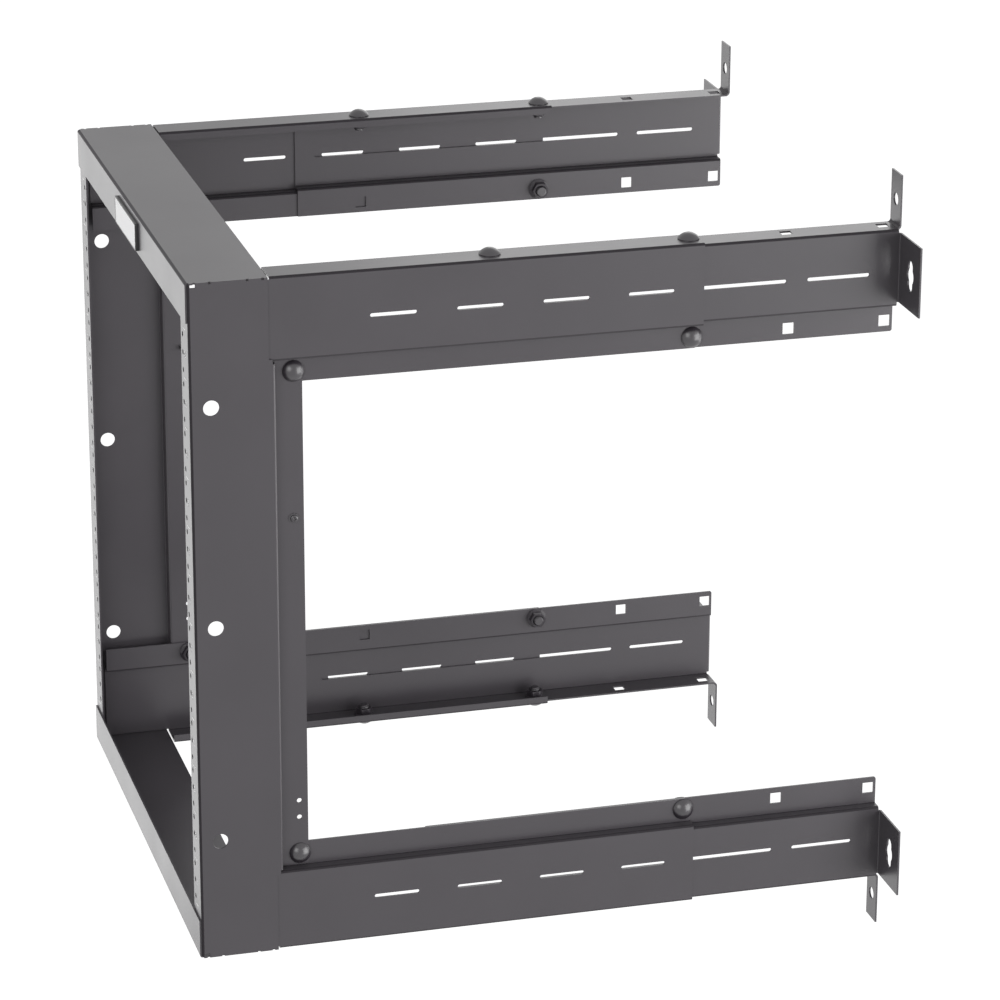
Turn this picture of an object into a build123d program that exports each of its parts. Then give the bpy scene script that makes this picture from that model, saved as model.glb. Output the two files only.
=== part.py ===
# An open frame wall rack for 19 inch equipment, 12 units high. Two posts and two cross members
# make the front frame. Four folded arms run back from it, and an extension is bolted into each
# arm, so the depth is set by which holes the bolts go through. Every sheet piece is a folded
# section, drawn along the middle of the sheet and traced to the sheet's thickness.
# Millimetres. X is to the right seen from the front, Y runs from the front to the wall and Z is
# up. The pieces are drawn round the middle of the rack's front, and moved at the end so that the
# origin is on the wall, at the keyhole of the top right extension.
import os

from build123d import *

os.makedirs("parts", exist_ok=True)

# Sheet
sheet = 1.6
half_sheet = sheet / 2
bend = 1.5  # radius on the middle of the sheet
tab_bend = 3.5

# Equipment holes: three to a unit, on two columns
unit = 44.45
units = 12
hole_gap = 15.875
opening = 450.0  # between the two rails
rail_hole = 4.8
rail_hole_inset = 7.55  # from the opening to the middle of a rail's holes

# Front frame
end_margin = 44.45  # from the equipment units to the top or bottom of the rack
post_width = 31.0
plate_depth = 69.0
front_lip = 35.4
lip_inset = 2.0  # from the side of the posts to the end of a front lip
web_depth = 74.5  # of a post, to the back of its step
joggle = 10.0  # from a web to the lip beside it
post_lip_depth = 25.0
corner_bolt_behind = 17.3  # from the back of the post's step
tab_centres = (12.5, 58.0)
tab_width = 11.0
tab_relief = 2.2
corner_relief = 2.7  # from the plate down to the web's top edge in front of its first tab
cable_hole = 14.0
cable_hole_y = 18.5
cable_hole_gap = 200.0
tie_hole = 4.5
tie_hole_z = (-173.7, -189.5)
post_cut = 2.0  # from the end of a post's step to the arm above or below it
rail_relief = 1.0  # from a rail's end to the plate, inside the fold

# Arms
arm_front = 8.5
arm_back = 454.0
plate_gap = 1.5  # from the cross member's plate to the arm's flange behind it
web_under = 1.0  # from the plate down to the arm's web
flange_width = 31.8
return_lip = 8.0
arm_height = 74.8  # from the outside of the flange to the outside of the step
lip_height = 22.5  # from the outside of the step to the end of the lip
arm_corner = 6.0
slot_drop = 40.75  # from the outside of the arm's flange to the slots
slot_height = 3.4
slot_length = 41.0
slot_first = 177.8
slot_pitch = 76.3
slot_count = 4

# Extensions, with their places along Y measured from the wall
depth = 635.0  # from the front of the rails to the wall
extension_length = 428.0
step_fit = 1.5  # from the arm's step to the extension's step inside it
flange_inset = 30.0  # from the side of the posts to the inner edge of the flange
lip_setback = 3.0
extension_corner = 2.0
long_slot = (409.0, 105.6)
end_slot = (86.3, 29.3)
station_pitch = 88.9
flange_station = 368.3
flange_hole_inset = 19.0  # from the side of the posts
lip_station = 366.0
lip_hole_rise = 10.15  # from the end of the lip
open_stations = (0, 2, 3, 4)
bolt_stations = (0, 2)

# Wall flanges and tabs: reaches are from the side of the posts, rises and drops from the top
fold_root = 12.0  # from the wall to where their folds join the extension
wall_flange_reach = 46.5
wall_flange_drops = (67.85, 4.85)
keyhole_reach = 23.0
keyhole_drop = 36.65
keyhole_height = 28.0
keyhole_slot = 11.0
keyhole_round = 16.0
tab_inset = 6.0
tab_rise = 46.35
tab_hole = 11.5
tab_hole_inset = 18.0
tab_hole_rise = 21.85

# Carriage bolts and flange nuts
shank = 9.5
neck_fit = 0.25
square = 10.3
head = 19.2
head_height = 6.0
head_edge = 1.2
head_flat = 9.0
nut_flange = 20.0
nut_flange_height = 1.8
nut_across = 14.3
nut_height = 8.0
thread_fit = 0.1
bolt_end = 3.0

# Name plate, left blank, and earth screws
name_plate = (96.0, 25.0, 3.0)
name_plate_drop = 7.0
name_plate_corner = 1.5
earth_z = 90.7
earth_behind = 16.3  # from the back of the post's step
earth_head = 7.0
earth_head_height = 2.0
earth_shank = 4.0
earth_fit = 0.1
earth_length = 8.0

# Worked out from the sizes above
side = opening / 2 + post_width
top = (units * unit + 2 * end_margin) / 2
rail_hole_x = opening / 2 + rail_hole_inset
plate_under = top - sheet
step_height = top - arm_height
lip_end = step_height - lip_height
lip_hole_z = lip_end + lip_hole_rise
slot_z = top - slot_drop
web_x = side - half_sheet
lip_x = web_x - joggle
arm_web_x = web_x - sheet
arm_lip_x = lip_x - sheet
arm_flange_z = top - half_sheet
arm_step_z = step_height + half_sheet
ext_web_x = arm_web_x - sheet
ext_lip_x = arm_lip_x - sheet
ext_flange_z = arm_flange_z - sheet
ext_step_z = arm_step_z + sheet + step_fit
corner_bolt_y = web_depth + corner_bolt_behind
earth_y = web_depth + earth_behind
flange_hole_x = side - flange_hole_inset
flange_holes = [depth - flange_station + k * station_pitch for k in range(5)]
lip_holes = [depth - lip_station + k * station_pitch for k in range(5)]
keyhole_x = side + keyhole_reach
keyhole_z = top - keyhole_drop
bend_size = bend + half_sheet  # outer radius
grip = 2 * sheet
unit_centres = [(i - (units - 1) / 2) * unit for i in range(units)]
to_wall = Location((-keyhole_x, -depth, -keyhole_z))

# Cross member: the plate and its front lip are one fold, with notches for the posts' tabs
with BuildPart() as top_cross_member:
    with BuildSketch(Plane.YZ):
        with BuildLine():
            FilletPolyline(
                (-half_sheet, top - front_lip),
                (-half_sheet, top - half_sheet),
                (plate_depth, top - half_sheet),
                radius=bend,
            )
        trace(line_width=sheet)
    extrude(amount=side - lip_inset, both=True)
    with BuildSketch(Plane.XY.offset(plate_under)):
        with Locations((0, (plate_depth + sheet) / 2)):
            Rectangle(2 * side, plate_depth - sheet)
        with Locations([(s * (side - half_sheet), y) for s in (-1, 1) for y in tab_centres]):
            Rectangle(sheet, tab_width + 2 * tab_relief, mode=Mode.SUBTRACT)
    extrude(amount=sheet)

with BuildPart() as bottom_cross_member:
    mirror(top_cross_member.part, about=Plane.XY)

# Post: the rail in front, the web at the side, and a step and lip behind
with BuildPart() as right_post:
    with BuildSketch(Plane.XY.offset(-plate_under)):
        with BuildLine():
            FilletPolyline(
                (opening / 2, half_sheet),
                (web_x, half_sheet),
                (web_x, web_depth - half_sheet),
                (lip_x, web_depth - half_sheet),
                (lip_x, web_depth + post_lip_depth),
                radius=bend,
            )
        trace(line_width=sheet)
    extrude(amount=2 * plate_under)
    # The step and lip stop short of the arms, and the web is trimmed to the plate's depth over them
    step_stop = step_height - post_cut
    with BuildSketch(Plane.YZ.offset(opening / 2)):
        bend_start = web_depth - bend_size
        with Locations([(bend_start, s * (step_stop + top)) for s in (-1, 1)]):
            Rectangle(2 * post_lip_depth, 2 * top, align=(Align.MIN, Align.CENTER))
        with Locations([(plate_depth, s * (step_height + bend_size + top)) for s in (-1, 1)]):
            Rectangle(web_depth - plate_depth, 2 * top, align=(Align.MIN, Align.CENTER))
    extrude(amount=side - opening / 2, mode=Mode.SUBTRACT)
    # The rail stops short of the plates' folds
    with BuildSketch(Plane.XZ):
        with Locations([(opening / 2, s * plate_under) for s in (-1, 1)]):
            rail_width = side - lip_inset - opening / 2
            Rectangle(rail_width, 2 * rail_relief, align=(Align.MIN, Align.CENTER))
    extrude(amount=-sheet, mode=Mode.SUBTRACT)
    # Relief at the corners, and tabs through the plates
    first_tab = tab_centres[0] - tab_width / 2
    with BuildSketch(Plane.YZ.offset(side - sheet)):
        with Locations([((bend_size + first_tab) / 2, s * plate_under) for s in (-1, 1)]):
            Rectangle(first_tab - bend_size, 2 * corner_relief)
    extrude(amount=sheet, mode=Mode.SUBTRACT)
    with BuildSketch(Plane.YZ.offset(side - sheet)):
        with Locations([(y, s * (plate_under + half_sheet)) for s in (-1, 1) for y in tab_centres]):
            Rectangle(tab_width, sheet)
    extrude(amount=sheet)
    # Equipment holes in the rail
    with BuildSketch(Plane.XZ):
        for z in unit_centres:
            with Locations([(rail_hole_x, z + k * hole_gap) for k in (-1, 0, 1)]):
                Circle(rail_hole / 2)
    extrude(amount=-sheet, mode=Mode.SUBTRACT)
    # Cable holes in the web
    with BuildSketch(Plane.YZ.offset(side - sheet)):
        with Locations([(cable_hole_y, k * cable_hole_gap) for k in (-1, 0, 1)]):
            Circle(cable_hole / 2)
    extrude(amount=sheet, mode=Mode.SUBTRACT)
    # Bolt, tie and earth holes in the lip
    with BuildSketch(Plane.YZ.offset(lip_x - half_sheet)):
        with Locations([(corner_bolt_y, s * lip_hole_z) for s in (-1, 1)]):
            Rectangle(square, square)
        with Locations([(corner_bolt_y, z) for z in tie_hole_z]):
            Circle(tie_hole / 2)
        with Locations((earth_y, earth_z)):
            Circle(earth_shank / 2 + earth_fit)
    extrude(amount=sheet, mode=Mode.SUBTRACT)

# Arm: return lip, flange, web, step and lip in one section
with BuildPart() as top_right_arm:
    with BuildSketch(Plane.XZ.offset(-arm_front)):
        with BuildLine():
            FilletPolyline(
                (side - sheet - flange_width + half_sheet, top - return_lip),
                (side - sheet - flange_width + half_sheet, arm_flange_z),
                (arm_web_x, arm_flange_z),
                (arm_web_x, arm_step_z),
                (arm_lip_x, arm_step_z),
                (arm_lip_x, lip_end),
                radius=bend,
            )
        trace(line_width=sheet)
    extrude(amount=-(arm_back - arm_front))
    # The flange starts behind the cross member, and only the web runs on under it
    with BuildSketch(Plane.XZ.offset(-arm_front)):
        with Locations((arm_web_x - half_sheet, top)):
            Rectangle(flange_width, 2 * return_lip, align=(Align.MAX, Align.CENTER))
            Rectangle(2 * sheet, 2 * (sheet + web_under), align=(Align.MIN, Align.CENTER))
    extrude(amount=-(plate_depth + plate_gap - arm_front), mode=Mode.SUBTRACT)
    # Slots in the web
    with BuildSketch(Plane.YZ.offset(arm_web_x - half_sheet)):
        with Locations([(slot_first + k * slot_pitch, slot_z) for k in range(slot_count)]):
            SlotOverall(slot_length, slot_height)
    extrude(amount=sheet, mode=Mode.SUBTRACT)
    # Square holes for the bolts, and the lip's round corner
    with BuildSketch(Plane.XY.offset(arm_flange_z - half_sheet)):
        with Locations([(flange_hole_x, flange_holes[k]) for k in bolt_stations]):
            Rectangle(square, square)
    extrude(amount=sheet, mode=Mode.SUBTRACT)
    with BuildSketch(Plane.YZ.offset(arm_lip_x - half_sheet)):
        with Locations((corner_bolt_y, lip_hole_z), (lip_holes[bolt_stations[1]], lip_hole_z)):
            Rectangle(square, square)
    extrude(amount=sheet, mode=Mode.SUBTRACT)
    lip_corner = top_right_arm.edges().filter_by(Axis.X).group_by(Axis.Z)[0].sort_by(Axis.Y)[-1]
    fillet(lip_corner, arm_corner)

# Extension: the same section nested in the arm, with a flange and a tab for the wall
with BuildPart() as top_right_extension:
    with BuildSketch(Plane.XZ.offset(-(depth - lip_setback))):
        with BuildLine():
            FilletPolyline(
                (side - flange_inset, ext_flange_z),
                (ext_web_x, ext_flange_z),
                (ext_web_x, ext_step_z),
                (ext_lip_x, ext_step_z),
                (ext_lip_x, lip_end),
                radius=bend,
            )
        trace(line_width=sheet)
    extrude(amount=extension_length - lip_setback)
    # Wall flange, folded outward from the web
    with BuildSketch(Plane.XY.offset(top - wall_flange_drops[0])):
        with BuildLine():
            FilletPolyline(
                (ext_web_x, depth - fold_root),
                (ext_web_x, depth - half_sheet),
                (side + wall_flange_reach, depth - half_sheet),
                radius=bend,
            )
        trace(line_width=sheet)
    extrude(amount=wall_flange_drops[0] - wall_flange_drops[1])
    # Tab, folded up from the flange
    with BuildSketch(Plane.YZ.offset(side - flange_inset)):
        with BuildLine():
            FilletPolyline(
                (depth - fold_root, ext_flange_z),
                (depth - half_sheet, ext_flange_z),
                (depth - half_sheet, top + tab_rise),
                radius=tab_bend,
            )
        trace(line_width=sheet)
    extrude(amount=flange_inset - tab_inset)
    # Slots in the web
    with BuildSketch(Plane.YZ.offset(ext_web_x - half_sheet)):
        for start, end in (long_slot, end_slot):
            with Locations((depth - (start + end) / 2, slot_z)):
                SlotOverall(start - end, slot_height)
    extrude(amount=sheet, mode=Mode.SUBTRACT)
    # Square holes in the flange and the lip
    with BuildSketch(Plane.XY.offset(ext_flange_z - half_sheet)):
        with Locations([(flange_hole_x, flange_holes[k]) for k in open_stations]):
            Rectangle(square, square)
    extrude(amount=sheet, mode=Mode.SUBTRACT)
    with BuildSketch(Plane.YZ.offset(ext_lip_x - half_sheet)):
        with Locations([(lip_holes[k], lip_hole_z) for k in open_stations]):
            Rectangle(square, square)
    extrude(amount=sheet, mode=Mode.SUBTRACT)
    # Keyhole and tab hole
    with BuildSketch(Plane.XZ.offset(-depth)):
        with Locations((keyhole_x, keyhole_z)):
            SlotOverall(keyhole_height, keyhole_slot, rotation=90)
            Circle(keyhole_round / 2)
        with Locations((side - tab_hole_inset, top + tab_hole_rise)):
            Circle(tab_hole / 2)
    extrude(amount=sheet, mode=Mode.SUBTRACT)
    end_corner = top_right_extension.edges().filter_by(Axis.X).group_by(Axis.Z)[0].sort_by(Axis.Y)[-1]
    fillet(end_corner, extension_corner)

# Carriage bolt with its head on the XY plane, and the nut under the two sheets
with BuildPart() as bolt:
    with BuildSketch(Plane.XZ):
        Polygon(
            (0, 0),
            (head / 2, 0),
            (head / 2, head_edge),
            (head_flat / 2, head_height),
            (0, head_height),
            align=None,
        )
    revolve(axis=Axis.Z)
    with BuildSketch():
        Rectangle(square - 2 * neck_fit, square - 2 * neck_fit)
    extrude(amount=-grip)
    with BuildSketch(Plane.XY.offset(-grip)):
        Circle(shank / 2)
    extrude(amount=-(nut_height + bolt_end))

with BuildPart() as nut:
    with BuildSketch(Plane.XY.offset(-grip)):
        Circle(nut_flange / 2)
        Circle(shank / 2 + thread_fit, mode=Mode.SUBTRACT)
    extrude(amount=-nut_flange_height)
    with BuildSketch(Plane.XY.offset(-grip - nut_flange_height)):
        RegularPolygon(nut_across / 2, 6, major_radius=False)
        Circle(shank / 2 + thread_fit, mode=Mode.SUBTRACT)
    extrude(amount=-(nut_height - nut_flange_height))

flange_places = [
    Location((flange_hole_x, flange_holes[k], arm_flange_z + half_sheet)) for k in bolt_stations
]
lip_places = [
    Location((lip_x + half_sheet, corner_bolt_y, lip_hole_z), (0, 90, 0)),
    Location((arm_lip_x + half_sheet, lip_holes[bolt_stations[1]], lip_hole_z), (0, 90, 0)),
]

with BuildPart() as top_right_flange_bolts:
    with Locations(*flange_places):
        add(bolt.part)
with BuildPart() as top_right_lip_bolts:
    with Locations(*lip_places):
        add(bolt.part)
with BuildPart() as top_right_flange_nuts:
    with Locations(*flange_places):
        add(nut.part)
with BuildPart() as top_right_lip_nuts:
    with Locations(*lip_places):
        add(nut.part)

# Blank name plate on the top lip
with BuildPart() as name_plate_blank:
    with Locations((0, -sheet - name_plate[2] / 2, top - name_plate_drop - name_plate[1] / 2)):
        Box(name_plate[0], name_plate[2], name_plate[1])
    fillet(name_plate_blank.edges().filter_by(Axis.Y), name_plate_corner)

# Earth screw through the lip of a post
with BuildPart() as right_earth_screw:
    with BuildSketch(Plane.YZ.offset(lip_x + half_sheet)):
        with Locations((earth_y, earth_z)):
            Circle(earth_head / 2)
    extrude(amount=earth_head_height)
    chamfer(right_earth_screw.edges().group_by(Axis.X)[-1], earth_head_height / 2)
    with BuildSketch(Plane.YZ.offset(lip_x + half_sheet)):
        with Locations((earth_y, earth_z)):
            Circle(earth_shank / 2)
    extrude(amount=-earth_length)

# The left side mirrors the right, and the bottom mirrors the top
pieces = {
    "top_cross_member": top_cross_member.part,
    "bottom_cross_member": bottom_cross_member.part,
    "name_plate": name_plate_blank.part,
    "right_post": right_post.part,
    "left_post": right_post.part.mirror(Plane.YZ),
    "right_earth_screw": right_earth_screw.part,
    "left_earth_screw": right_earth_screw.part.mirror(Plane.YZ),
}
corner_pieces = {
    "arm": top_right_arm.part,
    "extension": top_right_extension.part,
    "flange_bolts": top_right_flange_bolts.part,
    "lip_bolts": top_right_lip_bolts.part,
    "flange_nuts": top_right_flange_nuts.part,
    "lip_nuts": top_right_lip_nuts.part,
}
for name, right in corner_pieces.items():
    for hand, piece in (("right", right), ("left", right.mirror(Plane.YZ))):
        pieces[f"top_{hand}_{name}"] = piece
        pieces[f"bottom_{hand}_{name}"] = piece.mirror(Plane.XY)

for name, piece in pieces.items():
    placed = piece.moved(to_wall)
    placed.label = name
    export_step(placed, f"parts/{name}.step")
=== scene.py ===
import math

import bmesh
import bpy
import numpy as np
from mathutils import Matrix, Vector


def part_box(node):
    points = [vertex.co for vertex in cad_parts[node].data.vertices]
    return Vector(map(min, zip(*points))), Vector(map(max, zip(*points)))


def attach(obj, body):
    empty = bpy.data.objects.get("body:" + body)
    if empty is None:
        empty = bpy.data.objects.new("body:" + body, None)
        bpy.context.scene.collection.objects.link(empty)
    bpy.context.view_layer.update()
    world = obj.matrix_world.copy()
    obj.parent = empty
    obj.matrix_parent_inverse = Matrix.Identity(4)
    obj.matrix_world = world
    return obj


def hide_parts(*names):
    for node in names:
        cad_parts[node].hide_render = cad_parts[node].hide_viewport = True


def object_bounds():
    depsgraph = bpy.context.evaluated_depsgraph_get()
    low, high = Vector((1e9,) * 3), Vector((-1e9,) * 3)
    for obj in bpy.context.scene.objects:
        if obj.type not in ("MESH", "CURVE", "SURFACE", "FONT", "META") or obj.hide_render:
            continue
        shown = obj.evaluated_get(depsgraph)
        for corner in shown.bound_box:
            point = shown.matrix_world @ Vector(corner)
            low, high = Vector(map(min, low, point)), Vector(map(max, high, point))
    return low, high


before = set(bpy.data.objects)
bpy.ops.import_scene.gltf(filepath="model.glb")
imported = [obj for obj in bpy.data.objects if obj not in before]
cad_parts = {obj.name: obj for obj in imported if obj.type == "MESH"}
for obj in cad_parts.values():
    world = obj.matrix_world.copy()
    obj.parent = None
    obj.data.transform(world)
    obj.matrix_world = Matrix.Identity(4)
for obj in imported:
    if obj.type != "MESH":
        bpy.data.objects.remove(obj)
cad_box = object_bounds()
scene = bpy.context.scene
scene.view_settings.view_transform = "Standard"


# The photographer's camera: a long lens, a little above the rack and far round to its right,
# looking back past the near post at the inside of the far one.
look_azimuth = math.radians(74.690)
look_elevation = math.radians(19.911)
lens_roll = math.radians(0.115)
lens_distance = 3.62157
look_at = Vector((0.04085, -0.38947, -0.14675))
image_width = 1000
focal_pixels = 4269.73
lens_axis_pixel = (490.90, 490.28)
sensor_width = 36.0

towards_camera = Vector((
    math.sin(look_azimuth) * math.cos(look_elevation),
    -math.cos(look_azimuth) * math.cos(look_elevation),
    math.sin(look_elevation),
))
camera_data = bpy.data.cameras.new("photo_camera")
camera_data.sensor_width = sensor_width
camera_data.lens = focal_pixels / image_width * sensor_width
camera_data.shift_x = (image_width / 2 - lens_axis_pixel[0]) / image_width
camera_data.shift_y = (lens_axis_pixel[1] - image_width / 2) / image_width
camera = bpy.data.objects.new("photo_camera", camera_data)
scene.collection.objects.link(camera)
camera.rotation_mode = "QUATERNION"
upright = (-towards_camera).to_track_quat("-Z", "Y")
camera.rotation_quaternion = upright @ Matrix.Rotation(lens_roll, 3, "Z").to_quaternion()
camera.location = look_at + towards_camera * lens_distance
scene.camera = camera


# The studio: a white tent all round. The lens and the reflections see it at full white, and it
# lights the rack at a lower level, because the lamps add theirs.
tent_level = 0.27


def link(tree, *pairs):
    """Links each pair of an output and an input in turn."""
    for out, into in pairs:
        tree.links.new(out, into)


def math_node(tree, operation, *values):
    """A Math node that joins outputs or numbers."""
    node = tree.nodes.new("ShaderNodeMath")
    node.operation = operation
    for socket, value in zip(node.inputs, values):
        if isinstance(value, (int, float)):
            socket.default_value = value
        else:
            tree.links.new(value, socket)
    return node.outputs[0]


def direct_ray(tree):
    """1 where the lens, a reflection or a glass looks straight at the tent or the floor: the
    largest of the marks of these three kinds of ray."""
    ray = tree.nodes.new("ShaderNodeLightPath")
    largest = ray.outputs["Is Camera Ray"]
    for kind in ("Is Glossy Ray", "Is Transmission Ray"):
        largest = math_node(tree, "MAXIMUM", largest, ray.outputs[kind])
    return largest


world = bpy.data.worlds.new("white_tent")
world.use_nodes = True
scene.world = world
sky = world.node_tree
sky.nodes.clear()
sky_out = sky.nodes.new("ShaderNodeOutputWorld")
seen = sky.nodes.new("ShaderNodeBackground")
seen.inputs["Color"].default_value = (1.0, 1.0, 1.0, 1.0)
lighting = sky.nodes.new("ShaderNodeBackground")
lighting.inputs["Color"].default_value = (1.0, 1.0, 1.0, 1.0)
lighting.inputs["Strength"].default_value = tent_level
either = sky.nodes.new("ShaderNodeMixShader")
link(
    sky,
    (direct_ray(sky), either.inputs["Fac"]),
    (lighting.outputs[0], either.inputs[1]),
    (seen.outputs[0], either.inputs[2]),
    (either.outputs[0], sky_out.inputs["Surface"]),
)


# The floor: a wide pale sheet well under the rack, which hangs on a wall and is also looked at
# from below. To the lens and in reflections it glows, so that it reads as white.
floor_drop = 4.0
floor_half = 30.0
floor_grey = 0.90
floor_roughness = 0.9
floor_glow = 0.85

floor_z = cad_box[0].z - floor_drop
floor_mesh = bpy.data.meshes.new("floor")
corners = np.array([(-1, -1), (1, -1), (1, 1), (-1, 1)], float) * floor_half
floor_mesh.from_pydata(np.c_[corners, np.full(4, floor_z)].tolist(), [], [(0, 1, 2, 3)])
floor = bpy.data.objects.new("floor", floor_mesh)
scene.collection.objects.link(floor)
floor_paint = bpy.data.materials.new("pale_floor")
floor_paint.use_nodes = True
floor_tree = floor_paint.node_tree
floor_shader = floor_tree.nodes["Principled BSDF"]
floor_shader.inputs["Base Color"].default_value = (floor_grey, floor_grey, floor_grey, 1.0)
floor_shader.inputs["Roughness"].default_value = floor_roughness
floor_shader.inputs["Specular IOR Level"].default_value = 0.0
glow = floor_tree.nodes.new("ShaderNodeEmission")
glow.inputs["Strength"].default_value = floor_glow
lit_and_glowing = floor_tree.nodes.new("ShaderNodeAddShader")
by_ray = floor_tree.nodes.new("ShaderNodeMixShader")
link(
    floor_tree,
    (floor_shader.outputs[0], lit_and_glowing.inputs[0]),
    (glow.outputs[0], lit_and_glowing.inputs[1]),
    (direct_ray(floor_tree), by_ray.inputs["Fac"]),
    (floor_shader.outputs[0], by_ray.inputs[1]),
    (lit_and_glowing.outputs[0], by_ray.inputs[2]),
    (by_ray.outputs[0], floor_tree.nodes["Material Output"].inputs["Surface"]),
)
floor_mesh.materials.append(floor_paint)


# The lamps: two large soft boxes on the right, one in front and one behind, light the sides and
# show as two spots in every domed bolt. The three on the left and behind show as gloss along the
# flanges, the front lips and the folds that turn to the wall.
def soft_lamp(name, place, width, brightness):
    """A square soft box at a place, facing the middle of the rack. Its power is its brightness
    times its area times pi."""
    data = bpy.data.lights.new(name, "AREA")
    data.size = width
    data.energy = brightness * math.pi * width**2
    lamp = bpy.data.objects.new(name, data)
    scene.collection.objects.link(lamp)
    lamp.location = place
    aim = (cad_box[0] + cad_box[1]) / 2 - Vector(place)
    lamp.rotation_euler = aim.to_track_quat("-Z", "Y").to_euler()


soft_lamp("front_right_box", (2.4, -2.2, 0.8), 1.7, 2.4)
soft_lamp("rear_right_box", (1.5, 1.6, -0.25), 2.1, 3.4)
soft_lamp("rear_left_box", (-2.15, 0.9, 0.8), 1.8, 1.0)
soft_lamp("low_left_box", (-2.5, -1.4, -1.0), 1.5, 0.85)
soft_lamp("low_rear_box", (-0.4, 1.8, -0.7), 1.5, 1.5)


# Powder-coated steel: the cross members, posts, arms and extensions are folded sheet with a
# dark grey satin coat. The coat has a very fine orange peel. Along the folds a near-black painted
# shade is laid into its colour and the coat is rougher, apart from the folds that turn to the
# wall.
coat_colour = (0.0815, 0.0750, 0.0840)
coat_roughness = 0.33
cloud_scale = 14.0
cloud_detail = 3.0
cloud_stops = (0.3, 0.7)
cloud_shades = (0.96, 1.04)
cloud_gloss = 0.04
peel_scale = 900.0
peel_detail = 1.0
peel_strength = 0.25
peel_height = 0.00004
# Painted shade: the near-black colour laid into the coat along the folds, where the bends fall
# dark.
fold_shade_colour = (0.010, 0.007, 0.011)
fold_roughness = 0.75
share_eased = 0.65
square_face, slanted_face = 0.9995, 0.985
barely_turned, clearly_turned = 0.05, 0.3
hollow_turned = 0.1
front_folds_end = (-0.620, -0.610)


def rise_from(tree, value, low, high):
    """Goes from 0 where the value is low to 1 where it is high."""
    node = tree.nodes.new("ShaderNodeMapRange")
    node.inputs["From Min"].default_value = low
    node.inputs["From Max"].default_value = high
    tree.links.new(value, node.inputs["Value"])
    return node.outputs[0]


def satin_coat(name, colour, roughness):
    """A thin satin coat: noise a few centimetres wide moves its colour by four percent and its
    gloss a little, and noise about a millimetre wide raises its surface."""
    material = bpy.data.materials.new(name)
    material.use_nodes = True
    tree = material.node_tree
    shader = tree.nodes["Principled BSDF"]
    place = tree.nodes.new("ShaderNodeTexCoord")
    cloud = tree.nodes.new("ShaderNodeTexNoise")
    cloud.inputs["Scale"].default_value = cloud_scale
    cloud.inputs["Detail"].default_value = cloud_detail
    tint = tree.nodes.new("ShaderNodeValToRGB")
    for stop, position, level in zip(tint.color_ramp.elements, cloud_stops, cloud_shades):
        stop.position = position
        stop.color = (*[c * level for c in colour], 1.0)
    gloss = tree.nodes.new("ShaderNodeMapRange")
    gloss.inputs["To Min"].default_value = roughness - cloud_gloss
    gloss.inputs["To Max"].default_value = roughness + cloud_gloss
    peel = tree.nodes.new("ShaderNodeTexNoise")
    peel.inputs["Scale"].default_value = peel_scale
    peel.inputs["Detail"].default_value = peel_detail
    bump = tree.nodes.new("ShaderNodeBump")
    bump.inputs["Strength"].default_value = peel_strength
    bump.inputs["Distance"].default_value = peel_height
    link(
        tree,
        (place.outputs["Object"], cloud.inputs["Vector"]),
        (cloud.outputs["Fac"], tint.inputs["Fac"]),
        (tint.outputs["Color"], shader.inputs["Base Color"]),
        (cloud.outputs["Fac"], gloss.inputs["Value"]),
        (gloss.outputs[0], shader.inputs["Roughness"]),
        (place.outputs["Object"], peel.inputs["Vector"]),
        (peel.outputs["Fac"], bump.inputs["Height"]),
        (bump.outputs["Normal"], shader.inputs["Normal"]),
    )
    return material


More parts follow.
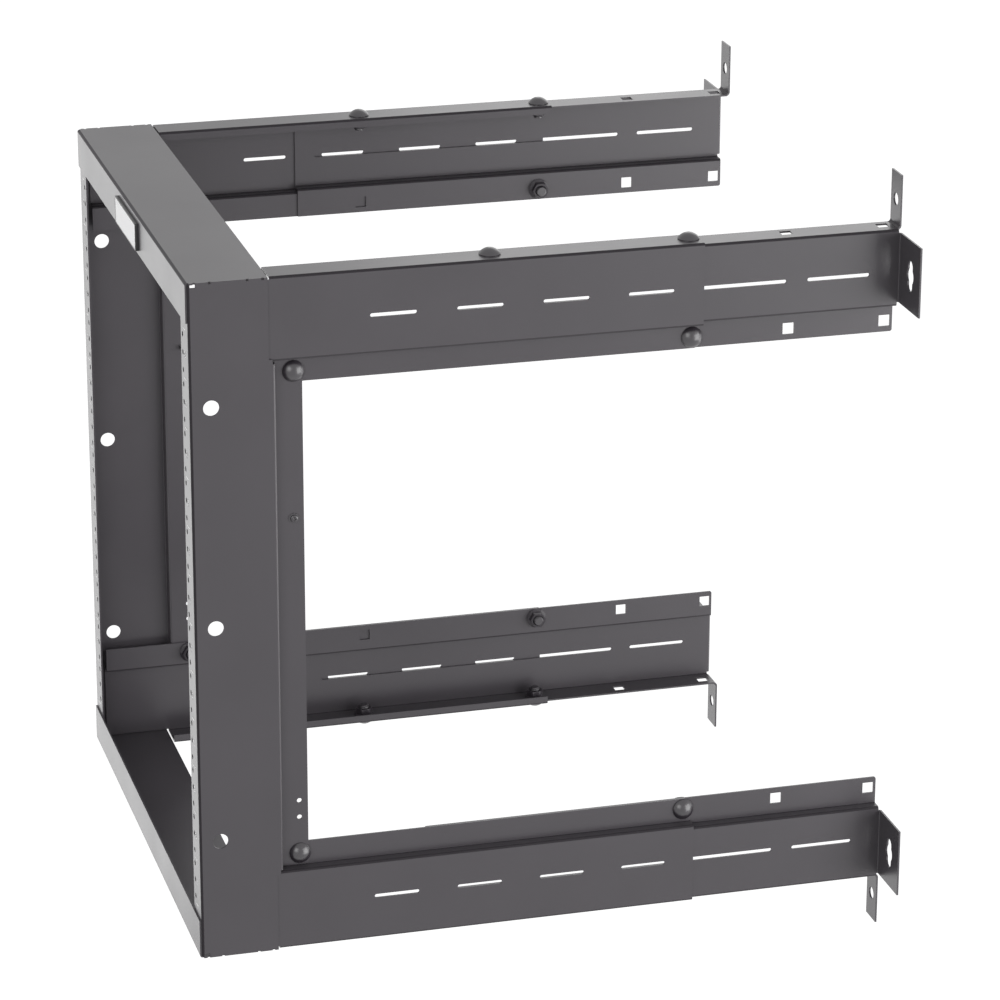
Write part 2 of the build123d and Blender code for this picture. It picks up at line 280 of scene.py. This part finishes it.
def dull_folds(material):
    """Takes a coat's colour over to a near-black painted shade, and its roughness over to the
    folds' roughness, where its face is square to no axis, as round a fold: by two thirds where it
    turns down, or up and to -Y, and not at all where it turns to +Y or is hollow, as it is where
    it turns both sideways and to -Y behind the rack's front."""
    tree = material.node_tree
    shader = tree.nodes["Principled BSDF"]
    facing = tree.nodes.new("ShaderNodeNewGeometry")
    parts = tree.nodes.new("ShaderNodeSeparateXYZ")
    tree.links.new(facing.outputs["True Normal"], parts.inputs[0])
    x, y, z = (math_node(tree, "ABSOLUTE", parts.outputs[axis]) for axis in "XYZ")
    largest = math_node(tree, "MAXIMUM", math_node(tree, "MAXIMUM", x, y), z)
    slanted = rise_from(tree, largest, square_face, slanted_face)
    not_to_wall = rise_from(tree, parts.outputs["Y"], clearly_turned, barely_turned)
    down = rise_from(tree, parts.outputs["Z"], -barely_turned, -clearly_turned)
    up = rise_from(tree, parts.outputs["Z"], barely_turned, clearly_turned)
    forward = rise_from(tree, parts.outputs["Y"], -barely_turned, -clearly_turned)
    eased = math_node(tree, "MAXIMUM", down, math_node(tree, "MULTIPLY", up, forward))
    share = math_node(tree, "MULTIPLY_ADD", eased, share_eased - 1, 1.0)
    place = tree.nodes.new("ShaderNodeTexCoord")
    depth = tree.nodes.new("ShaderNodeSeparateXYZ")
    tree.links.new(place.outputs["Object"], depth.inputs[0])
    sideways = rise_from(tree, x, 0.0, hollow_turned)
    to_front = rise_from(tree, parts.outputs["Y"], 0.0, -hollow_turned)
    behind = rise_from(tree, depth.outputs["Y"], *front_folds_end)
    hollow = math_node(tree, "MULTIPLY", math_node(tree, "MULTIPLY", sideways, to_front), behind)
    # The mask of the painted fold shade, which also sets how much rougher the folds get.
    fold_shade_and_dull_mask = math_node(tree, "MULTIPLY", math_node(tree, "MULTIPLY", slanted, not_to_wall), share)
    fold_shade_and_dull_mask = math_node(tree, "MULTIPLY", fold_shade_and_dull_mask, math_node(tree, "SUBTRACT", 1.0, hollow))
    # Mixes the painted fold shade into the coat's colour.
    painted_shade_mix = tree.nodes.new("ShaderNodeMix")
    painted_shade_mix.data_type = "RGBA"
    painted_shade_mix.inputs["B"].default_value = (*fold_shade_colour, 1.0)
    gloss = shader.inputs["Roughness"].links[0].from_socket
    left = math_node(tree, "SUBTRACT", fold_roughness, gloss)
    link(
        tree,
        (shader.inputs["Base Color"].links[0].from_socket, painted_shade_mix.inputs["A"]),
        (fold_shade_and_dull_mask, painted_shade_mix.inputs["Factor"]),
        (painted_shade_mix.outputs["Result"], shader.inputs["Base Color"]),
        (math_node(tree, "MULTIPLY_ADD", fold_shade_and_dull_mask, left, gloss), shader.inputs["Roughness"]),
    )


sheet_coat = satin_coat("satin_powder_coat", coat_colour, coat_roughness)
# The sheet coat gets the painted shade along its folds.
dull_folds(sheet_coat)
sheet_words = ("cross_member", "post", "arm", "extension")
for node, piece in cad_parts.items():
    if node.endswith(sheet_words):
        piece.data.materials.clear()
        piece.data.materials.append(sheet_coat)


# Carriage bolts: two through each arm's flange and two through its lip. Each is a blackened steel
# bolt with a domed head, a square neck that sits in the square hole, and a rolled thread.
bolt_head = 0.0096
bolt_dome = 0.0060
bolt_rim = 0.0008
bolt_neck = 0.0049
bolt_grip = 0.0032
bolt_reach = 0.0142
bolt_thread = (0.00475, 0.00055, 0.0015875)
bolt_tip = 0.0034
bolt_steps = 48
dome_rows = 14
bolt_screw_rows = 56
thread_run_out = 0.001
turned_crease = 35
merge_distance = 1e-6
smallest_edge = 1e-7
fixing_colour = (0.032, 0.027, 0.034)
fixing_roughness = 0.28
fixing_gloss = 0.95

fixing_coat = satin_coat("black_fixings", fixing_colour, fixing_roughness)
fixing_shader = fixing_coat.node_tree.nodes["Principled BSDF"]
fixing_shader.inputs["Specular IOR Level"].default_value = fixing_gloss


def angles_round(steps):
    """The angles of equal steps once round an axis, from 0."""
    return np.arange(steps) * 2 * np.pi / steps


def turned_faces(rows, steps):
    """Faces of a grid of rows carried round an axis: each row's points join the next row's, and
    the last point of a row joins its first."""
    row, step = np.meshgrid(np.arange(rows - 1), np.arange(steps), indexing="ij")
    after = (step + 1) % steps
    start, end = row * steps, (row + 1) * steps
    return np.stack((start + step, start + after, end + after, end + step), axis=-1).reshape(-1, 4)


def thread_rows(angle, start, end, thread, rows):
    """Radius and height of a thread's rows: the radius falls and rises once a pitch, moves on by
    a pitch a turn, and tapers in over the last millimetre."""
    radius, depth, pitch = thread
    down = np.linspace(start, end, rows)[:, None] + 0 * angle
    turn = (down / pitch - angle / (2 * np.pi)) % 1.0
    groove = abs(turn - 0.5) * 2
    taper = np.clip(1 - (down - end) / thread_run_out, 0.0, 1.0)
    return radius - depth * groove - depth * taper, down


def bolt_rows(angle):
    """Radius and height of each row of a bolt on the XY plane, by angle: the dome is the cap of a
    ball above a low rim, the neck a square, and the thread follows."""
    cap = bolt_dome - bolt_rim
    ball = (bolt_head**2 + cap**2) / (2 * cap)
    rise = np.linspace(0, math.asin(bolt_head / ball), dome_rows)[:, None]
    dome = (
        np.concatenate([ball * np.sin(rise), [[bolt_head]]]) + 0 * angle,
        np.concatenate([ball * (np.cos(rise) - 1) + bolt_dome, [[0.0]]]) + 0 * angle,
    )
    square = bolt_neck / np.maximum(abs(np.cos(angle)), abs(np.sin(angle)))
    neck = (
        np.stack([square, square]),
        np.array([0.0, -bolt_grip])[:, None] + 0 * angle,
    )
    screw = thread_rows(angle, -bolt_grip, -bolt_reach, bolt_thread, bolt_screw_rows)
    tip = (
        np.stack([np.full_like(angle, bolt_tip), np.zeros_like(angle)]),
        np.full((2, len(angle)), -bolt_reach),
    )
    stretches = (dome, neck, screw, tip)
    return [np.concatenate([stretch[part] for stretch in stretches]) for part in (0, 1)]


def tidy_mesh(mesh, crease):
    """Joins the points that meet at a pole or seam, turns the faces outwards, and shades them
    smooth where they meet at less than the crease."""
    work = bmesh.new()
    work.from_mesh(mesh)
    bmesh.ops.remove_doubles(work, verts=work.verts, dist=merge_distance)
    bmesh.ops.dissolve_degenerate(work, dist=smallest_edge, edges=work.edges)
    bmesh.ops.recalc_face_normals(work, faces=work.faces)
    work.to_mesh(mesh)
    work.free()
    mesh.shade_smooth()
    mesh.set_sharp_from_angle(angle=math.radians(crease))


def place_piece(name, mesh, material):
    """An object at the origin that carries a finished mesh and rides on the rack."""
    mesh.materials.append(material)
    piece = bpy.data.objects.new(name, mesh)
    scene.collection.objects.link(piece)
    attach(piece, "root")
    return piece


def turned_piece(name, places, angle, radii, heights, material):
    """One mesh of the same turned shape at several places: each place is a point on the axis, and
    the direction of the heights."""
    vertices, faces = [], []
    grid = turned_faces(len(radii), len(angle))
    for n, (foot, out) in enumerate(places):
        first = np.array([0.0, 1.0, 0.0])
        second = np.cross(out, first)
        round_it = np.cos(angle)[:, None] * first + np.sin(angle)[:, None] * second
        points = foot + radii[..., None] * round_it + heights[..., None] * out
        vertices.append(points.reshape(-1, 3))
        faces.append(grid + n * radii.size)
    mesh = bpy.data.meshes.new(name)
    mesh.from_pydata(np.concatenate(vertices).tolist(), [], np.concatenate(faces).tolist())
    tidy_mesh(mesh, turned_crease)
    return place_piece(name, mesh, material)


def seats(node, out):
    """The two places of the fixings in a CAD node: its vertices split halfway along Y, and each
    half's middle, moved along the axis to its end on the side that out points to."""
    co = np.array([v.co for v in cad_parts[node].data.vertices], float)
    middle = (co[:, 1].min() + co[:, 1].max()) / 2
    out = np.array(out)
    places = []
    for half in (co[co[:, 1] < middle], co[co[:, 1] > middle]):
        low, high = half.min(0), half.max(0)
        places.append(((low + high) / 2 + out * (high - low) / 2, out))
    return places


hands = (("right", 1.0), ("left", -1.0))
corner_ways = [
    (f"{end}_{hand}_{where}", out)
    for end, up in (("top", 1.0), ("bottom", -1.0))
    for hand, side in hands
    for where, out in (("flange", (0.0, 0.0, up)), ("lip", (side, 0.0, 0.0)))
]
bolt_angle = angles_round(bolt_steps)
radii, heights = bolt_rows(bolt_angle)
for corner, out in corner_ways:
    node = f"{corner}_bolts"
    bolts = turned_piece(
        f"{node}_turned", seats(node, out), bolt_angle, radii, heights - bolt_dome, fixing_coat
    )
    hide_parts(node)


# Flange nuts: each bolt's steel nut, inside the folded section, with a round flange that bears on
# the sheet, six flats, and a chamfered bore. They are duller than the bolts.
nut_flange = 0.0100
nut_flange_edge = 0.0009
nut_flange_height = 0.0018
nut_root = (0.0006, 0.0003)
nut_flat = 0.00715
nut_height = 0.0080
nut_bore = 0.00485
nut_chamfer = 0.0006
nut_steps = 72
nut_roughness = 0.45

nut_coat = satin_coat("dull_black_nuts", fixing_colour, nut_roughness)


def nut_rows(angle):
    """Radius and height of each row of a flange nut that hangs under the XY plane, by angle: out
    along the flange, up its cone, up the flats, whose corners are cut by a cone at the end, and
    back down the bore."""
    flats = nut_flat / np.cos((angle % (np.pi / 3)) - np.pi / 6)
    cut = np.minimum(flats, nut_flat + nut_chamfer / 2)
    rows = (
        (nut_bore, 0.0),
        (nut_flange, 0.0),
        (nut_flange, -nut_flange_edge),
        (flats + nut_root[0], -nut_flange_height),
        (flats, -nut_flange_height - nut_root[1]),
        (flats, -nut_height + nut_chamfer),
        (cut, -nut_height),
        (nut_bore + nut_chamfer, -nut_height),
        (nut_bore, -nut_height + nut_chamfer),
        (nut_bore, 0.0),
    )
    return [np.stack([row[part] + 0 * angle for row in rows]) for part in (0, 1)]


nut_angle = angles_round(nut_steps)
nut_radii, nut_heights = nut_rows(nut_angle)
for corner, out in corner_ways:
    node = f"{corner}_nuts"
    nuts = turned_piece(
        f"{node}_flanged", seats(node, out), nut_angle, nut_radii, nut_heights, nut_coat
    )
    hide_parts(node)


# Earth screws: one through the lip of each post, a pan head with a cross recess, on a round
# toothed washer that cuts through the coat. Both are dark like the sheet.
screw_head = 0.0035
screw_dome = 0.0015
head_squareness = 4
screw_thread = (0.0020, 0.0003, 0.0007)
screw_reach = 0.0080
screw_tip = 0.0015
recess_arm = 0.0018
recess_half = 0.0005
recess_depth = 0.0010
recess_slopes = (0.00015, 0.0003)
recess_rise = 0.5
washer_radius = 0.0048
washer_tooth = 0.0003
washer_teeth = 12
tooth_squareness = 3
washer_thickness = 0.0005
screw_steps = 144
head_rows = 30
earth_screw_rows = 50


def screw_rows(angle):
    """Radius and height of each row of a pan head screw on the XY plane, by angle: the head is an
    ellipse with the fourth power of the radius for its square, less a cross whose arms slope down
    to the axis."""
    radius = np.linspace(0, 1, head_rows)[:, None] * screw_head + 0 * angle
    dome = screw_dome * (1 - (radius / screw_head) ** head_squareness) ** 0.5
    across = np.stack([abs(radius * np.cos(angle)), abs(radius * np.sin(angle))])
    near, far = across.min(0), across.max(0)
    in_side = np.clip((recess_half - near) / recess_slopes[0], 0, 1)
    in_end = np.clip((recess_arm - far) / recess_slopes[1], 0, 1)
    dome = dome - recess_depth * in_side * in_end * (1 - recess_rise * far / recess_arm)
    neck = (np.full((1, len(angle)), screw_thread[0]), np.zeros((1, len(angle))))
    thread = thread_rows(angle, 0.0, -screw_reach, screw_thread, earth_screw_rows)
    tip = (
        np.stack([np.full_like(angle, screw_tip), np.zeros_like(angle)]),
        np.full((2, len(angle)), -screw_reach),
    )
    stretches = ((radius, dome), neck, thread, tip)
    return [np.concatenate([stretch[part] for stretch in stretches]) for part in (0, 1)]


def washer_rows(angle):
    """Radius and height of each row of a washer on the XY plane, by angle: out, up, in and down
    the bore, with an outer edge that waves once a tooth."""
    wave = np.tanh(tooth_squareness * np.cos(washer_teeth * angle))
    edge = washer_radius + washer_tooth * wave
    bore = screw_thread[0] + 0 * angle
    floor_row, top_row = 0 * angle, washer_thickness + 0 * angle
    radii = np.stack([bore, edge, edge, bore, bore])
    return radii, np.stack([floor_row, floor_row, top_row, top_row, floor_row])


screw_angle = angles_round(screw_steps)
for hand, side in hands:
    node = f"{hand}_earth_screw"
    low, high = (np.array(corner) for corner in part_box(node))
    out = np.array((side, 0.0, 0.0))
    foot = (low + high) / 2 + out * ((high - low) / 2 - screw_dome - washer_thickness)
    radii, heights = screw_rows(screw_angle)
    screw = turned_piece(
        f"{node}_cross", [(foot, out)], screw_angle, radii, heights + washer_thickness, fixing_coat
    )
    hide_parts(node)
    radii, heights = washer_rows(screw_angle)
    turned_piece(f"{hand}_toothed_washer", [(foot, out)], screw_angle, radii, heights, fixing_coat)


# The name plate on the top lip: a dark moulded plastic body with a raised rim, stuck to the steel,
# and a white panel set into it, which is left blank.
plate_corner = 0.0015
plate_edge = 0.0007
edge_middle = 0.3
rim_width = 0.0012
rim_height = 0.0003
panel_gap = 0.00005
corner_steps = 8
plate_crease = 30
moulding_colour = (0.020, 0.020, 0.022)
moulding_roughness = 0.35
panel_colour = (0.93, 0.93, 0.94)
panel_roughness = 0.30

plate_low, plate_high = (np.array(corner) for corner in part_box("name_plate"))
plate_half = (plate_high - plate_low) / 2
plate_seat = (plate_low + plate_high) / 2 + (0.0, plate_half[1], 0.0)


def plate_rows(rows):
    """Points of a rounded rectangle at several insets and depths: the corners' arcs keep their
    centres, and their radius is the plate's less the inset."""
    turn = np.linspace(0, np.pi / 2, corner_steps)
    angles = np.concatenate([turn + k * np.pi / 2 for k in range(4)])
    signs = np.repeat(np.array([(1, 1), (-1, 1), (-1, -1), (1, -1)]), corner_steps, axis=0)
    centres = signs * (plate_half[[0, 2]] - plate_corner)
    arcs = np.stack([np.cos(angles), np.sin(angles)], axis=-1)
    points = [
        np.insert(centres + (plate_corner - inset) * arcs, 1, depth, axis=1)
        for inset, depth in rows
    ]
    return np.stack(points) + plate_seat


def plate_piece(name, rows, material):
    """The rows joined to each other round the plate, with a flat face over the first and the last
    row."""
    points = plate_rows(rows)
    count = points.shape[1]
    faces = turned_faces(len(rows), count).tolist()
    last = (len(rows) - 1) * count
    faces += [list(range(count)), list(range(last, last + count))]
    mesh = bpy.data.meshes.new(name)
    mesh.from_pydata(points.reshape(-1, 3).tolist(), [], faces)
    tidy_mesh(mesh, plate_crease)
    return place_piece(name, mesh, material)


thickness = plate_high[1] - plate_low[1]
floor_depth = -thickness + rim_height
body = plate_piece("name_plate_body", (
    (0.0, 0.0),
    (0.0, -thickness + plate_edge),
    (plate_edge * edge_middle, -thickness + plate_edge * edge_middle),
    (plate_edge, -thickness),
    (rim_width, -thickness),
    (rim_width, floor_depth),
), satin_coat("dark_moulding", moulding_colour, moulding_roughness))
plate_piece("name_plate_panel", (
    (rim_width + panel_gap, floor_depth),
    (rim_width + panel_gap, floor_depth - rim_height / 2),
), satin_coat("white_panel", panel_colour, panel_roughness))
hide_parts("name_plate")


# The unit marks: a tick at each unit's edge and a number beside its middle hole, printed in white
# on both rails. The numbers count the units from the bottom, and are drawn in straight strokes.
unit = 0.04445
units = 12
mark_from_hole = 0.0065
tick_size = (0.0080, 0.0010)
digit_size = (0.0025, 0.0042)
digit_gap = 0.0013
stroke = 0.0010
print_thickness = 0.00005
hole_column = 0.23255
print_colour = (0.92, 0.92, 0.92)
print_roughness = 0.30

white_print = satin_coat("white_print", print_colour, print_roughness)
strokes_of = {
    "top": (0.0, 1.0, True), "middle": (0.0, 0.0, True), "bottom": (0.0, -1.0, True),
    "upper_left": (-1.0, 0.5, False), "upper_right": (1.0, 0.5, False),
    "lower_left": (-1.0, -0.5, False), "lower_right": (1.0, -0.5, False),
}
digit_strokes = {
    "0": ("top", "bottom", "upper_left", "upper_right", "lower_left", "lower_right"),
    "1": ("upper_right", "lower_right"),
    "2": ("top", "upper_right", "middle", "lower_left", "bottom"),
    "3": ("top", "upper_right", "middle", "lower_right", "bottom"),
    "4": ("upper_left", "upper_right", "middle", "lower_right"),
    "5": ("top", "upper_left", "middle", "lower_right", "bottom"),
    "6": ("top", "upper_left", "middle", "lower_left", "lower_right", "bottom"),
    "7": ("top", "upper_right", "lower_right"),
    "8": ("top", "middle", "bottom", "upper_left", "upper_right", "lower_left", "lower_right"),
    "9": ("top", "upper_left", "upper_right", "middle", "lower_right", "bottom"),
}


def number_bars(number, x, z):
    """Centre and half size of each stroke of a number that is centred on x and z."""
    bars = []
    wide, tall = digit_size
    text = str(number)
    for n, digit in enumerate(text):
        at_x = x + (n - (len(text) - 1) / 2) * (wide + digit_gap)
        for name in digit_strokes[digit]:
            across, up, level = strokes_of[name]
            length = wide / 2 if level else tall / 4
            reach = length + stroke / 2
            half = (reach, stroke / 2) if level else (stroke / 2, reach)
            bars.append((at_x + across * wide / 2, z + up * tall / 2, *half))
    return bars


def printed_bars(name, bars, front_y):
    """Thin closed boxes for all the bars at once: each corner is the bar's centre plus its half
    size with one of eight sets of signs."""
    bars = np.array(bars)
    half = np.full(len(bars), print_thickness / 2)
    signs = np.array([(a, b, c) for b in (-1, 1) for a, c in ((-1, -1), (1, -1), (1, 1), (-1, 1))])
    centres = np.stack([bars[:, 0], front_y - half, bars[:, 1]], -1)
    halves = np.stack([bars[:, 2], half, bars[:, 3]], -1)
    points = centres[:, None] + halves[:, None] * signs
    front_and_back = [(0, 1, 2, 3), (7, 6, 5, 4)]
    edges = [(k, k + 4, (k + 1) % 4 + 4, (k + 1) % 4) for k in range(4)]
    box_faces = np.array(front_and_back + edges)
    faces = (box_faces[None] + 8 * np.arange(len(bars))[:, None, None]).reshape(-1, 4)
    mesh = bpy.data.meshes.new(name)
    mesh.from_pydata(points.reshape(-1, 3).tolist(), [], faces.tolist())
    return place_piece(name, mesh, white_print)


post_low, post_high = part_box("right_post")
middle_x = (post_high.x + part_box("left_post")[0].x) / 2
middle_z = (post_low.z + post_high.z) / 2
for hand, side in hands:
    mark_x = middle_x + side * (hole_column + mark_from_hole)
    bars = [
        (mark_x, middle_z + (k - units / 2) * unit, tick_size[0] / 2, tick_size[1] / 2)
        for k in range(units + 1)
    ]
    for k in range(units):
        bars += number_bars(k + 1, mark_x, middle_z + (k + 0.5 - units / 2) * unit)
    printed_bars(f"{hand}_unit_marks", bars, post_low.y)
